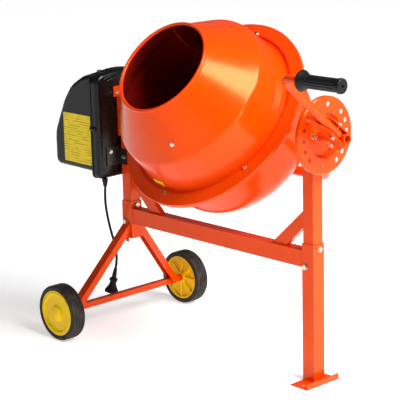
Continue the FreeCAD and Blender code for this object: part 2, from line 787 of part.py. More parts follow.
def make_pinion():
    """Ten involute teeth about the tilt axis, with a gap facing the ring gear."""
    base = PINION_R * math.cos(PRESSURE)
    tip = PINION_R + PINION_TIP
    root = PINION_R - RING_TIP - TOOTH_GAP
    half_pitch = (math.pi * GEAR_MODULE / 2 - BACKLASH / 2) / (2 * PINION_R)
    at_pitch = involute_angle(PINION_R, base)
    flank = [(root, half_pitch + at_pitch)]
    for k in range(4):
        radius = base + (tip - base) * k / 3
        flank.append((radius, half_pitch + at_pitch - involute_angle(radius, base)))
    corners = []
    for k in range(PINION_TEETH):
        middle = 2 * math.pi * (k + 0.5) / PINION_TEETH
        for radius, angle in flank:
            corners.append((radius, middle - angle))
        for radius, angle in reversed(flank):
            corners.append((radius, middle + angle))
    left = DRUM_X - RING_R - GEAR_FACE / 2
    points = [V(left, r * math.sin(a), r * math.cos(a)) for r, a in corners]
    gear = prism(points, X * GEAR_FACE)
    hub = rod(V(left - 6, 0, 0), X, root - 0.5, 8)
    shaft_hole = rod(V(left - 20, 0, 0), X, SHAFT_R, 60)
    add("pinion_gear", lean(gear.fuse(hub).removeSplitter().cut(shaft_hole)))
    start = PULLEY_X - PULLEY_WIDE - 6
    add("pinion_shaft", lean(rod(V(start, 0, 0), X, SHAFT_R, left + GEAR_FACE + 3 - start)))


def pulley_outline(radius, bore):
    """A ribbed belt pulley with two side lips."""
    outline = [(0, bore), (0, radius + 2), (1, radius + 2), (1.5, radius)]
    for k in range(3):
        outline.append((3 + 3 * k, radius - 1.5))
        outline.append((4.5 + 3 * k, radius))
    outline += [(PULLEY_WIDE - 1, radius + 2), (PULLEY_WIDE, radius + 2), (PULLEY_WIDE, bore)]
    return outline


def make_belt_drive():
    left = PULLEY_X - PULLEY_WIDE
    big = turned(pulley_outline(BIG_PULLEY_R, SHAFT_R), V(left, 0, TILT_Z), X)
    windows = []
    for k in range(5):
        angle = math.radians(72 * k)
        at = V(left - 1, 42 * math.cos(angle), TILT_Z + 42 * math.sin(angle))
        windows.append(rod(at, X, 16, PULLEY_WIDE + 2))
    add("big_pulley", holes(big, windows))
    small = turned(pulley_outline(SMALL_PULLEY_R, 0), V(left, 0, MOTOR_Z), X)
    shaft = rod(V(left - 34, 0, MOTOR_Z), X, 6, 36)
    add("motor_pulley", small.fuse(shaft).removeSplitter())

    outer = belt_loop(BELT_GAP + BELT_THICK)
    add("drive_belt", outer.cut(belt_loop(BELT_GAP)))


def belt_loop(offset):
    """The solid inside a belt line that runs round both pulleys at an offset, between their lips."""
    big = BIG_PULLEY_R + offset
    small = SMALL_PULLEY_R + offset
    slope = math.asin((big - small) / (TILT_Z - MOTOR_Z))
    x = PULLEY_X - PULLEY_WIDE + 1.8
    ends = []
    for radius, z in ((big, TILT_Z), (small, MOTOR_Z)):
        ends.append(V(x, radius * math.cos(slope), z - radius * math.sin(slope)))
    high, low = ends
    high_far = V(x, -high.y, high.z)
    low_far = V(x, -low.y, low.z)
    wire = Part.Wire([
        Part.Arc(high, V(x, 0, TILT_Z + big), high_far).toShape(),
        Part.LineSegment(high_far, low_far).toShape(),
        Part.Arc(low_far, V(x, 0, MOTOR_Z - small), low).toShape(),
        Part.LineSegment(low, high).toShape(),
    ])
    return Part.Face(wire).extrude(X * (PULLEY_WIDE - 3.6))


def make_motor():
    front = PULLEY_X - PULLEY_WIDE - 12
    body = rod(V(front - 110, 0, MOTOR_Z), X, MOTOR_R, 110)
    flange = block(front - 4, -MOTOR_R, MOTOR_Z - MOTOR_R, front, MOTOR_R, MOTOR_Z + MOTOR_R)
    parts = [flange]
    for k in range(12):
        fin = block(front - 100, MOTOR_R - 2, MOTOR_Z - 1.5, front - 14, MOTOR_R + 3, MOTOR_Z + 1.5)
        fin.rotate(V(0, 0, MOTOR_Z), X, 30 * k + 15)
        parts.append(fin)
    for y in (-50, 50):
        for z in (-48, 30):
            parts.append(rod(V(front, y, MOTOR_Z + z), X, 5, COVER_X - COVER_WALL - front))
    shaft_space = rod(V(front - 40, 0, MOTOR_Z), X, 6 + RUNNING, 60)
    add("motor_stator", body.fuse(parts).removeSplitter().cut(shaft_space))


# ================= housing =================

def inner_cover_face(x, shrink):
    half = COVER_HALF - shrink
    low = COVER_LOW + shrink
    points = [
        V(x, -half, low), V(x, half, low), V(x, half, COVER_TOP - 13 - shrink), V(x, 0, COVER_TOP - shrink),
        V(x, -half, COVER_TOP - 13 - shrink),
    ]
    return rounded_face(points, [15 - shrink, 15 - shrink, 30 - shrink, 250, 30 - shrink])


def shell_face(shrink):
    """The side outline of the outer cover."""
    y = -SHELL_HALF + shrink
    points = [
        V(LIP_X + shrink, y, 458 + shrink), V(COVER_END + shrink, y, 461 + shrink),
        V(COVER_END + shrink, y, 560), V(-541 + shrink * 0.85, y, 658 - shrink * 0.5),
        V(-505 + shrink * 0.65, y, 704 - shrink * 0.75), V(-452 + shrink * 0.4, y, 734 - shrink * 0.9),
        V(LIP_X + shrink, y, 744.5 - shrink),
    ]
    return rounded_face(points, [0, 20 - shrink, 100, 90, 90, 100, 0])


def shell_solid(shrink):
    """The outer cover's solid, with its long edges rounded but its open end left square."""
    body = shell_face(shrink).extrude(Y * (2 * (SHELL_HALF - shrink)))
    open_end = LIP_X + shrink
    edges = []
    for edge in body.Edges:
        box = edge.BoundBox
        if box.YLength < 0.01 and box.XMin < open_end - 0.01:
            edges.append(edge)
    return body.makeFillet(SHELL_EDGE - shrink, edges)


def tray_solid(shrink):
    """The inner cover's solid, with the edges of its closed face rounded."""
    front = COVER_X - shrink
    body = inner_cover_face(front, shrink).extrude(X * (LIP_X - COVER_X))
    edges = [edge for edge in body.Edges if edge.BoundBox.XMin > front - 0.01]
    return body.makeFillet(TRAY_EDGE - shrink, edges)


def make_covers():
    tray = tray_solid(0)
    hollow = tray_solid(COVER_WALL)
    ridge = inner_cover_face(LIP_X, -1.5).extrude(X * 5)
    ridge = ridge.cut(inner_cover_face(LIP_X - 1, 1).extrude(X * 8))
    shaft_hole = rod(V(COVER_X - 10, 0, TILT_Z), X, 12, 20)
    extras = [ridge]
    for side in (-1, 1):
        extras.append(rod(V(COVER_X - TRAY_EDGE, side * COVER_HALF, 587), X * -1, 6, COVER_X - TRAY_EDGE - LIP_X))
    for y in (-62, -32):
        rib = Part.makeTorus(24, 2, V(COVER_X - 17, y, COVER_TOP - 24), Y)
        extras.append(rib.common(block(LIP_X + 3, y - 5, COVER_TOP - 16, COVER_X - 2, y + 5, COVER_TOP)))
    tray = tray.fuse(extras).removeSplitter()
    add("inner_cover", tray.cut([hollow, shaft_hole]))
    shell = shell_solid(0).cut(shell_solid(COVER_WALL))
    add("outer_cover", shell)
    screws = []
    ear = COVER_X - TRAY_EDGE
    for x, y, z in ((COVER_X, -68, 466), (COVER_X, 68, 466), (ear, -94, 587), (ear, 94, 587)):
        head = rod(V(x, y, z), X, 3.5, 2)
        screws.append(head.fuse(rod(V(x - 12, y, z), X, 1.8, 13)).removeSplitter())
    add("cover_screws", *screws)


def make_brackets():
    """What holds the housing to the left post, and every bolt of it and of the notch disc."""
    face = -POST_X - POST / 2
    plate = block(COVER_X, -33, 674, COVER_X + 4, 33, 704)
    stem = block(COVER_X, -20, 560, COVER_X + 4, 20, 676)
    spacer = block(COVER_X + 4, -POST / 2, 560, face, POST / 2, 628)
    shaft_hole = rod(V(COVER_X - 5, 0, TILT_Z), X, 12, 20)
    add("motor_plate", plate.fuse([spacer, stem]).removeSplitter().cut(shaft_hole))
    front = -POST / 2
    flat = block(COVER_X + 3, front - 3, 478, -POST_X + 8, front, 522)
    flange = block(COVER_X, -66, 478, COVER_X + 3, front, 532)
    add("motor_bracket", flat.fuse(flange).removeSplitter())
    bolts = [
        bolt(V(-358, front - 3, 500), Y * -1, 6, 12),
        bolt(V(COVER_X + 3, -54, 518), X, 6, 12),
        bolt(V(COVER_X + 4, -24, 688), X, 6, 12),
        bolt(V(COVER_X + 4, 24, 688), X, 6, 12),
    ]
    for y, z in disc_bolt_places():
        bolts.append(bolt(V(DISC_X - RECESS_DEEP, y, TILT_Z + z), X, 8, 12))
    add("mount_bolts", *bolts)


def make_switch():
    face = SHELL_HALF
    box = block(SWITCH_X - 30, face, SWITCH_Z - 35, SWITCH_X + 30, face + SWITCH_DEEP, SWITCH_Z + 35)
    edges = [edge for edge in box.Edges if edge.BoundBox.YLength > SWITCH_DEEP - 0.1]
    box = box.makeFillet(6, edges)
    wells = []
    for z, name in ((SWITCH_Z + 16, "start_button"), (SWITCH_Z - 16, "stop_button")):
        well = face + SWITCH_DEEP - 9
        wells.append(rod(V(SWITCH_X, well, z), Y, BUTTON_R + RUNNING, 12))
        add(name, rod(V(SWITCH_X, well + 4, z), Y, BUTTON_R, BUTTON_OUT + 5 - 4))
    add("switch_housing", box.cut(wells))


def make_cord():
    spots = [V(*p) for p in CORD_ROUTE]
    radii = []
    for last, corner, after in zip(spots, spots[1:], spots[2:]):
        turn = (corner - last).getAngle(after - corner)
        short = min((corner - last).Length, (after - corner).Length)
        radii.append(0.45 * short / math.tan(turn / 2))
    path = rounded_path(spots, radii)
    aim = (spots[1] - spots[0]).normalize()
    cord = swept(path, spots[0], aim, CORD_D / 2)
    print("cord bend radii over its diameter:", [round(r / CORD_D, 1) for r in radii])
    print("cord volume over section times length:", cord.Volume / (math.pi * CORD_D ** 2 / 4 * path.Length))
    add("mains_cord", cord)
    rise = COVER_LOW - spots[0].z
    gland = turned([(0, 0), (0, 5.2), (rise - 9, 7.5), (rise - 8, 8.5), (rise, 8.5), (rise, 0)], spots[0], Z)
    add("cord_gland", gland)
    end = spots[-1]
    aim = (spots[-1] - spots[-2]).normalize()
    outline = [(0, 0), (0, 5)]
    for k in range(5):
        outline += [(2 + 5 * k, 5.5 + 0.4 * k), (4 + 5 * k, 5.5 + 0.4 * k), (4.5 + 5 * k, 4.8 + 0.4 * k)]
    outline += [
        (27, 8), (30, 12), (31, 12.5), (35, 12.5), (36, 12), (38, 10), (43, 9.5), (49, 10.5), (57, 14.5),
        (63, 18.5), (67, 20), (PLUG_LONG, 20), (PLUG_LONG, 0),
    ]
    add("plug_body", turned(outline, end, aim))
    face = end + aim * PLUG_LONG
    side = across(aim)
    pins = [rod(face - side * 9.5, aim, 2.4, 19), rod(face + side * 9.5, aim, 2.4, 19)]
    add("plug_pins", *pins)


# ================= the whole machine =================

def drill(bolts, targets):
    """Make room in every part for the bolts that pass through it."""
    for name in targets:
        nodes[name] = nodes[name].cut(nodes[bolts])


make_posts()
make_sleeves()
make_crossbar()
make_braces()
make_foot()
make_a_frame()
make_wheel(-1, "near")
make_wheel(1, "far")
make_frame_bolts()
make_bearings()
make_disc()
make_yoke()
make_lever_bracket()
make_lever()
make_drum_shells()
make_blade("mixing_blade_a", BLADE_ANGLES[0])
make_blade("mixing_blade_b", BLADE_ANGLES[1])
make_guard()
make_ring_gear()
make_drum_hub()
make_pinion()
make_belt_drive()
make_motor()
make_covers()
make_brackets()
make_switch()
make_cord()

drill("frame_bolts", ["left_post", "right_post", "left_sleeve", "right_leg", "near_leg", "far_leg", "crossbar"])
drill("guard_bolts", ["guard_ring", "drum_lower", "ring_gear"])
drill("blade_bolts", ["drum_upper", "drum_lower", "drum_hub", "mixing_blade_a", "mixing_blade_b"])
drill("mount_bolts", ["left_post", "motor_plate", "motor_bracket", "inner_cover", "trunnion_bush", "tilt_disc"])
drill("cover_screws", ["inner_cover"])

rigid = [shape for name, shape in nodes.items() if name not in ("mains_cord", "plug_body", "plug_pins")]
box = Part.makeCompound(rigid).BoundBox
shift = V(-(box.XMin + box.XMax) / 2, -(box.YMin + box.YMax) / 2, -box.ZMin)
print("box", box.XLength, box.YLength, box.ZLength, "shift", shift.x, shift.y, shift.z)

os.makedirs("parts", exist_ok=True)
for name, shape in nodes.items():
    shape.translate(shift)
    shape.exportStep("parts/" + name + ".step")
print(len(nodes), "nodes")
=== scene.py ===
import json
import math

import bmesh
import bpy
from mathutils import Matrix, Vector


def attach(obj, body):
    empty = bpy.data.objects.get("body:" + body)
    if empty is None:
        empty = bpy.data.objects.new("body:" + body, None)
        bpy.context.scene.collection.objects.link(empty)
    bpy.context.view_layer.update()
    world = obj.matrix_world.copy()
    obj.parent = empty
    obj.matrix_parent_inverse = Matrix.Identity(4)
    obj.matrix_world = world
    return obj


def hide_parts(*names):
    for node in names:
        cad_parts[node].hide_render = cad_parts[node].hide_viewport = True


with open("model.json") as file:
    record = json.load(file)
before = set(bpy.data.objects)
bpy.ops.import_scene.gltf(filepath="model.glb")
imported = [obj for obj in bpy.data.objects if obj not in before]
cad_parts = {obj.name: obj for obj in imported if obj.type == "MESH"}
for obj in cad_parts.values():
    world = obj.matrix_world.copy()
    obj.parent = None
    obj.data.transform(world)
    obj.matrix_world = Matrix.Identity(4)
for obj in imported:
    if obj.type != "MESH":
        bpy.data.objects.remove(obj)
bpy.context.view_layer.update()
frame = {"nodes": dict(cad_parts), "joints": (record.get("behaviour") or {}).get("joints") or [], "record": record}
nodes = frame["nodes"]
joints = {j["name"]: j for j in frame["joints"]}

# The part is drawn in millimetres about the middle of its posts, as its CAD source is.
POST_X = 354.0
POST = 35.0
SLEEVE = 40.0
BAR_LOW = 306.5
BAR_HIGH = 350.5
BRACE_LOW = 417.0
BRACE_HIGH = 461.0
BRACE_FAR = 216.0
BRACE_NEAR = 266.0
BRACE_THICK = 16.0
FOOT_THICK = 3.0
AXLE_X = -396.5
WHEEL_R = 80.0
WHEEL_OUT = 261.0
WHEEL_WIDE = 44.0
TILT_Z = 657.0
YOKE_R = 13.5
BRACKET_X = 424.0
BRACKET_SHEET = 3.0
LEVER_X = 453.5
LEVER_R = 11.0
LEVER_LONG = 278.0
GRIP_START = 64.0
GRIP_END = 191.0
COVER_X = -380.0
SHELL_HALF = 90.0

# The drum's section, with its points as (along the drum's axis from the tilt axis, radius).
DRUM_LEAN = 50.0
DRUM_X = 8.0
SHEET = 2.5
MOUTH = (245.0, 133.0)
SEAM = (22.0, 237.0)
SHOULDER = (121.0, 199.0)
SHOULDER_ARC = 27.0
BOWL = (-92.0, 146.0)
BOWL_ARC = 85.0
HUB_HOLE_R = 28.2
FLANGE_R = 264.0
GUARD_IN = 246.0
GUARD_OUT = 283.0
GUARD_SHEET = 2.0
GUARD_RIM = 14.0

ORIGIN = Vector(joints["tilt"]["pos_m"]) - Vector((POST_X, 0, TILT_Z)) / 1000
LEAN = Matrix.Rotation(math.radians(DRUM_LEAN), 3, "X")


def at(x, y, z):
    """A point in metres from millimetres about the middle of the posts."""
    return ORIGIN + Vector((x, y, z)) / 1000


def leaned(x, y, z):
    """A point in metres from the leaning frame of the drum and yoke."""
    return at(0, 0, TILT_Z) + LEAN @ Vector((x, y, z)) / 1000


# ================= materials =================

def node_of(tree, kind, **values):
    """A shader node with its settings or input values filled in."""
    made = tree.nodes.new(kind)
    for key, value in values.items():
        if hasattr(made, key):
            setattr(made, key, value)
        else:
            made.inputs[key.replace("_", " ")].default_value = value
    return made


def noise(tree, scale, detail=4.0, stretch=(1, 1, 1)):
    """A noise over the part's own coordinates, in metres."""
    place = node_of(tree, "ShaderNodeTexCoord")
    mapping = node_of(tree, "ShaderNodeMapping")
    mapping.inputs["Scale"].default_value = stretch
    tree.links.new(place.outputs["Object"], mapping.inputs["Vector"])
    made = node_of(tree, "ShaderNodeTexNoise", Scale=scale, Detail=detail)
    tree.links.new(mapping.outputs["Vector"], made.inputs["Vector"])
    return made.outputs["Fac"]


def ramp(tree, source, stops):
    """A colour ramp from (place, colour or grey) stops."""
    made = node_of(tree, "ShaderNodeValToRGB")
    while len(made.color_ramp.elements) < len(stops):
        made.color_ramp.elements.new(0.5)
    for element, (place, value) in zip(made.color_ramp.elements, stops):
        element.position = place
        element.color = (*value, 1) if isinstance(value, tuple) else (value, value, value, 1)
    tree.links.new(source, made.inputs["Fac"])
    return made.outputs["Color"]


def bump(tree, shader, heights):
    """Chains (height, strength, distance) bumps into a shader's normal."""
    last = None
    for height, strength, distance in heights:
        made = node_of(tree, "ShaderNodeBump", Strength=strength, Distance=distance)
        tree.links.new(height, made.inputs["Height"])
        if last:
            tree.links.new(last, made.inputs["Normal"])
        last = made.outputs["Normal"]
    tree.links.new(last, shader.inputs["Normal"])


def link_ramp(tree, source, stops, socket):
    """Colours a noise or other source by a ramp and links it to a shader's socket."""
    tree.links.new(ramp(tree, source, stops), socket)


def material(name, metallic=0.0, coat=0.0, coat_rough=0.1, specular=0.5):
    """A material, its node tree and its shader, with the shader's even values set."""
    made = bpy.data.materials.new(name)
    made.use_nodes = True
    shader = made.node_tree.nodes["Principled BSDF"]
    shader.inputs["Metallic"].default_value = metallic
    shader.inputs["Coat Weight"].default_value = coat
    shader.inputs["Coat Roughness"].default_value = coat_rough
    shader.inputs["Specular IOR Level"].default_value = specular
    return made, made.node_tree, shader


def paint(name, light, dark, rough=(0.19, 0.27), coat=0.04, tint=(1.0, 0.5, 0.16)):
    """Powder coat: slight colour drift, orange peel and fine scuffs."""
    made, tree, shader = material(name, coat=coat, coat_rough=0.04, specular=0.56)
    shader.inputs["Specular Tint"].default_value = (*tint, 1)
    link_ramp(tree, noise(tree, 7, 3), [(0.35, dark), (0.65, light)], shader.inputs["Base Color"])
    link_ramp(tree, noise(tree, 34, 7), [(0.35, rough[0]), (0.75, rough[1])], shader.inputs["Roughness"])
    bump(tree, shader, [(noise(tree, 520, 2), 0.06, 0.0003), (noise(tree, 22, 2), 0.02, 0.001)])
    return made


def plastic(name, light, dark, rough=(0.4, 0.55), grain=900, depth=0.15, coat=0.0):
    """Moulded plastic with a fine spark-eroded grain."""
    made, tree, shader = material(name, coat=coat, coat_rough=0.2, specular=0.22)
    link_ramp(tree, noise(tree, 18, 5), [(0.35, dark), (0.7, light)], shader.inputs["Base Color"])
    link_ramp(tree, noise(tree, 45, 6), [(0.35, rough[0]), (0.7, rough[1])], shader.inputs["Roughness"])
    bump(tree, shader, [(noise(tree, grain, 3), depth, 0.0004)])
    return made


def metal(name, light, dark, rough=(0.22, 0.4), stretch=(1, 1, 1)):
    """Bare or plated metal, its grain stretched where it was turned."""
    made, tree, shader = material(name, metallic=1.0)
    link_ramp(tree, noise(tree, 90, 6, stretch), [(0.3, dark), (0.7, light)], shader.inputs["Base Color"])
    link_ramp(tree, noise(tree, 220, 6), [(0.3, rough[0]), (0.7, rough[1])], shader.inputs["Roughness"])
    bump(tree, shader, [(noise(tree, 700, 3, stretch), 0.12, 0.0003)])
    return made


def dusty_rubber(name):
    """Black rubber whose tread is worn grey-brown."""
    clean_rubber = (0.007, 0.006, 0.005)
    dust = (0.045, 0.03, 0.018)
    made, tree, shader = material(name)
    link_ramp(tree, noise(tree, 40, 9), [(0.38, clean_rubber), (0.78, dust)], shader.inputs["Base Color"])
    link_ramp(tree, noise(tree, 60, 5), [(0.3, 0.55), (0.7, 0.85)], shader.inputs["Roughness"])
    bump(tree, shader, [(noise(tree, 380, 8), 0.35, 0.0008)])
    return made


def sticker(name):
    """A yellow information label with plain grey bars and no lettering."""
    row_pitch = 0.0072
    yellow = (0.86, 0.64, 0.004, 1)
    bar_grey = (0.36, 0.27, 0.01, 1)
    made, tree, shader = material(name, coat=0.05, coat_rough=0.2, specular=0.25)
    place = node_of(tree, "ShaderNodeTexCoord")
    split = node_of(tree, "ShaderNodeSeparateXYZ")
    tree.links.new(place.outputs["Object"], split.inputs["Vector"])
    rows = node_of(tree, "ShaderNodeMath", operation="SINE")
    scaled = node_of(tree, "ShaderNodeMath", operation="MULTIPLY")
    scaled.inputs[1].default_value = 2 * math.pi / row_pitch
    tree.links.new(split.outputs["Z"], scaled.inputs[0])
    tree.links.new(scaled.outputs["Value"], rows.inputs[0])
    bars = ramp(tree, rows.outputs["Value"], [(0.55, 0.0), (0.8, 1.0)])
    gaps = ramp(tree, noise(tree, 26, 1, (1, 1, 6)), [(0.44, 0.0), (0.52, 1.0)])
    both = node_of(tree, "ShaderNodeMath", operation="MULTIPLY")
    tree.links.new(bars, both.inputs[0])
    tree.links.new(gaps, both.inputs[1])
    mix = node_of(tree, "ShaderNodeMix", data_type="RGBA")
    mix.inputs[6].default_value = yellow
    mix.inputs[7].default_value = bar_grey
    tree.links.new(both.outputs["Value"], mix.inputs["Factor"])
    tree.links.new(mix.outputs[2], shader.inputs["Base Color"])
    shader.inputs["Roughness"].default_value = 0.4
    return made


def grey(value):
    """Three equal values, for a grey or an even scale."""
    return (value, value, value)


ORANGE = paint("orange_powder_coat", (0.78, 0.05, 0.0003), (0.72, 0.044, 0.0003))
# A darker copy of the orange paint, which is painted shade inside the drum and on its blades.
INSIDE_PAINTED_SHADE = paint("drum_inside_painted_shade", (0.42, 0.012, 0.007), (0.26, 0.007, 0.004), rough=(0.3, 0.5), coat=0.05)
BLACK = plastic("black_housing_plastic", grey(0.004), grey(0.002), rough=(0.2, 0.3), coat=0.1, depth=0.06)
GRIP = plastic("black_grip_plastic", grey(0.008), grey(0.004), rough=(0.32, 0.48), depth=0.2)
YELLOW = plastic("yellow_wheel_plastic", (0.96, 0.68, 0.002), (0.90, 0.58, 0.0015), rough=(0.36, 0.5))
ZINC = metal("yellow_zinc", (0.75, 0.68, 0.5), (0.5, 0.46, 0.38))
STEEL = metal("turned_steel", (0.62, 0.62, 0.63), (0.42, 0.42, 0.43), rough=(0.2, 0.32), stretch=(6, 1, 1))
IRON = metal("cast_iron", (0.2, 0.2, 0.21), (0.1, 0.1, 0.105), rough=(0.45, 0.65))
ALU = metal("die_cast_aluminium", (0.68, 0.69, 0.71), (0.5, 0.51, 0.53), rough=(0.35, 0.5))
RUBBER = dusty_rubber("dusty_tyre_rubber")
CORD = plastic("black_cord_rubber", grey(0.014), grey(0.007), rough=(0.5, 0.66), grain=500, depth=0.25)
BLACK_PAINT = paint("black_paint", grey(0.008), grey(0.004), rough=(0.3, 0.42), tint=(1, 1, 1))
GREEN = plastic("green_button", (0.02, 0.35, 0.06), (0.015, 0.28, 0.045), rough=(0.25, 0.4))
RED = plastic("red_button", (0.6, 0.02, 0.015), (0.5, 0.015, 0.012), rough=(0.25, 0.4))
LABEL = sticker("plain_yellow_label")

SLOT_LOOKS = {
    "orange": ORANGE, "zinc": ZINC, "steel": STEEL, "iron": IRON, "black_plastic": BLACK,
    "yellow_plastic": YELLOW, "rubber": RUBBER, "soft_black": CORD, "black_metal": BLACK_PAINT,
    "green": GREEN, "red": RED, "belt": CORD, "alu": ALU,
}


def dress(thing, look):
    """Gives an object one look in place of any it had."""
    thing.data.materials.clear()
    thing.data.materials.append(look)


for part in frame["record"]["subparts"]:
    dress(nodes[part["node"]], SLOT_LOOKS[part["material_slot"]])


# ================= mesh helpers =================

def mend(mesh, smooth, merge=False):
    """Turns faces outwards, joins doubled points first where asked, and marks the sharp edges."""
    made = bmesh.new()
    made.from_mesh(mesh)
    if merge:
        bmesh.ops.remove_doubles(made, verts=made.verts, dist=1e-6)
        bmesh.ops.dissolve_degenerate(made, edges=made.edges, dist=1e-7)
    bmesh.ops.recalc_face_normals(made, faces=made.faces)
    made.to_mesh(mesh)
    made.free()
    mesh.set_sharp_from_angle(angle=math.radians(smooth))


def piece(name, verts, faces, look, body, stands_for=(), smooth=35):
    """A mesh object that rides on a body and may stand for CAD nodes."""
    mesh = bpy.data.meshes.new(name)
    mesh.from_pydata([tuple(v) for v in verts], [], faces)
    mesh.update()
    mesh.shade_smooth()
    mend(mesh, smooth)
    thing = bpy.data.objects.new(name, mesh)
    bpy.context.scene.collection.objects.link(thing)
    dress(thing, look)
    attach(thing, body)
    if stands_for:
        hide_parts(*stands_for)
    return thing


def cylinder_frame(axis):
    """An axis as a unit vector, and two unit vectors square to it."""
    axis = Vector(axis).normalized()
    side = axis.cross(Vector((0, 0, 1)))
    if side.length < 0.1:
        side = axis.cross(Vector((1, 0, 0)))
    side.normalize()
    return axis, side, axis.cross(side)


def lathe(name, outline, start, axis, look, body, stands_for=(), around=128, radius=None, smooth=35):
    """A closed solid of revolution from (along, radius) points in millimetres, start in metres."""
    axis, side, up = cylinder_frame(axis)
    count = len(outline)
    verts = []
    for k in range(around):
        turn = 2 * math.pi * k / around
        out = side * math.cos(turn) + up * math.sin(turn)
        for s, r in outline:
            real = radius(s, r, turn) if radius else r
            verts.append(start + (axis * s + out * real) / 1000)
    faces = []
    for k in range(around):
        a = k * count
        b = (k + 1) % around * count
        for i in range(count):
            j = (i + 1) % count
            faces.append((a + i, a + j, b + j, b + i))
    made = piece(name, verts, faces, look, body, stands_for, smooth)
    mend(made.data, smooth, merge=True)
    return made


# ================= mains cord =================

CORD_D = 0.0075
CORD_ROUTE = [
    (-389, -68, 418), (-392, -69, 386), (-399, -58, 334), (-406, -41, 282), (-416, -18, 230),
    (-429, 0, 180), (-432, -6, 150),
]


def make_cord():
    """The mains lead as a curve through the same points as its CAD tube."""
    curve = bpy.data.curves.new("mains_lead", "CURVE")
    curve.dimensions = "3D"
    curve.bevel_depth = CORD_D / 2
    curve.bevel_resolution = 6
    curve.use_fill_caps = True
    spline = curve.splines.new("NURBS")
    spline.points.add(len(CORD_ROUTE) - 1)
    for point, place in zip(spline.points, CORD_ROUTE):
        point.co = (*at(*place), 1)
    spline.order_u = 3
    spline.use_endpoint_u = True
    spline.resolution_u = 16
    lead = bpy.data.objects.new("mains_lead", curve)
    bpy.context.scene.collection.objects.link(lead)
    lead.data.materials.append(CORD)
    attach(lead, "frame")
    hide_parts("mains_cord")
    return lead


lead = make_cord()


# ================= drum and guard ring =================

DRUM_AT = leaned(DRUM_X, 0, 0)
DRUM_AXIS = LEAN @ Vector((0, 0, 1))


def arc(centre, radius, start, end, steps):
    """Points (along, radius) of an arc, from angles measured from straight out towards the mouth."""
    found = []
    for k in range(steps + 1):
        turn = math.radians(start + (end - start) * k / steps)
        found.append((centre[0] + radius * math.sin(turn), centre[1] + radius * math.cos(turn)))
    return found


def tangent_angle(point, centre, radius, side):
    """The arc angle at which a line from a point touches the arc."""
    ds = point[0] - centre[0]
    dr = point[1] - centre[1]
    return math.degrees(math.atan2(ds, dr)) + side * math.degrees(math.acos(radius / math.hypot(ds, dr)))


def upper_side(offset):
    """Cone, shoulder and band, from mouth to seam."""
    mouth = (MOUTH[0], MOUTH[1] - offset)
    seam = (SEAM[0], SEAM[1] - offset)
    radius = SHOULDER_ARC - offset
    low = tangent_angle(mouth, SHOULDER, radius, -1)
    high = tangent_angle(seam, SHOULDER, radius, 1)
    return [mouth] + arc(SHOULDER, radius, low, high, 12) + [seam]


def lower_side(offset):
    """Wall, rounded corner and bottom of the bowl, from seam to hub."""
    seam = (SEAM[0], SEAM[1] - offset)
    radius = BOWL_ARC - offset
    corner = arc(BOWL, radius, tangent_angle(seam, BOWL, radius, -1), -90, 24)
    return [seam] + corner + [(BOWL[0] - radius, HUB_HOLE_R)]


def paint_inside_shade(thing, is_inside):
    """Gives the faces that pass a test a darker copy of the orange paint, which is painted shade inside the drum.

    The test is given how far a face looks outwards and how far it looks towards the mouth, each from
    -1 to 1, and its place as (along, radius) in millimetres.
    """
    thing.data.materials.append(INSIDE_PAINTED_SHADE)
    for face in thing.data.polygons:
        reach = face.center - DRUM_AT
        along = reach.dot(DRUM_AXIS)
        away = reach - DRUM_AXIS * along
        outwards = face.normal.dot(away.normalized())
        upwards = face.normal.dot(DRUM_AXIS)
        if is_inside(outwards, upwards, along * 1000, away.length * 1000):
            face.material_index = 1


def make_cone():
    """The upper shell, from its seam up the outside, round the mouth's bead and down the inside."""
    neck_s = MOUTH[0] - 3
    bead_at = (MOUTH[0] + 2, MOUTH[1])
    bead_r = 4.5
    sloped_sheet = SHEET + 0.4
    # Where the painted shade inside the cone stops, just short of the mouth.
    painted_shade_to = MOUTH[0] - 1.5
    outer = upper_side(0)
    inner = upper_side(SHEET)
    widen = (outer[1][1] - MOUTH[1]) / (MOUTH[0] - outer[1][0])
    neck_r = MOUTH[1] + widen * (MOUTH[0] - neck_s)
    outline = list(reversed(outer))[:-1] + [(neck_s, neck_r)]
    outline += arc(bead_at, bead_r, -50, 215, 20)
    outline += [(neck_s, neck_r - sloped_sheet)] + inner[1:]
    shell = lathe("drum_cone", outline, DRUM_AT, DRUM_AXIS, ORANGE, "drum", ("drum_upper",), around=192,
                  smooth=30)
    # The cone's inner faces get the darker paint, which is painted shade.
    paint_inside_shade(shell, lambda outwards, upwards, along, radius: outwards < -0.2 and along < painted_shade_to)


def make_bowl():
    """The lower shell, from its seam down the outside, up the inside and round its flange."""
    edge = 0.5
    seam_s, seam_r = SEAM
    outline = lower_side(0)[1:] + list(reversed(lower_side(SHEET)))[:-1]
    outline += [
        (seam_s, seam_r - SHEET), (seam_s, FLANGE_R - edge), (seam_s - edge, FLANGE_R),
        (seam_s - SHEET + edge, FLANGE_R), (seam_s - SHEET, FLANGE_R - edge), (seam_s - SHEET, seam_r + 0.3),
    ]
    bowl = lathe("drum_bowl", outline, DRUM_AT, DRUM_AXIS, ORANGE, "drum", ("drum_lower",), around=192,
                 smooth=30)

    def is_inside(outwards, upwards, along, radius):
        return (outwards < -0.2 or upwards > 0.5) and radius < seam_r - 1

    # The bowl's inner faces and its inside bottom get the darker paint, which is painted shade.
    paint_inside_shade(bowl, is_inside)


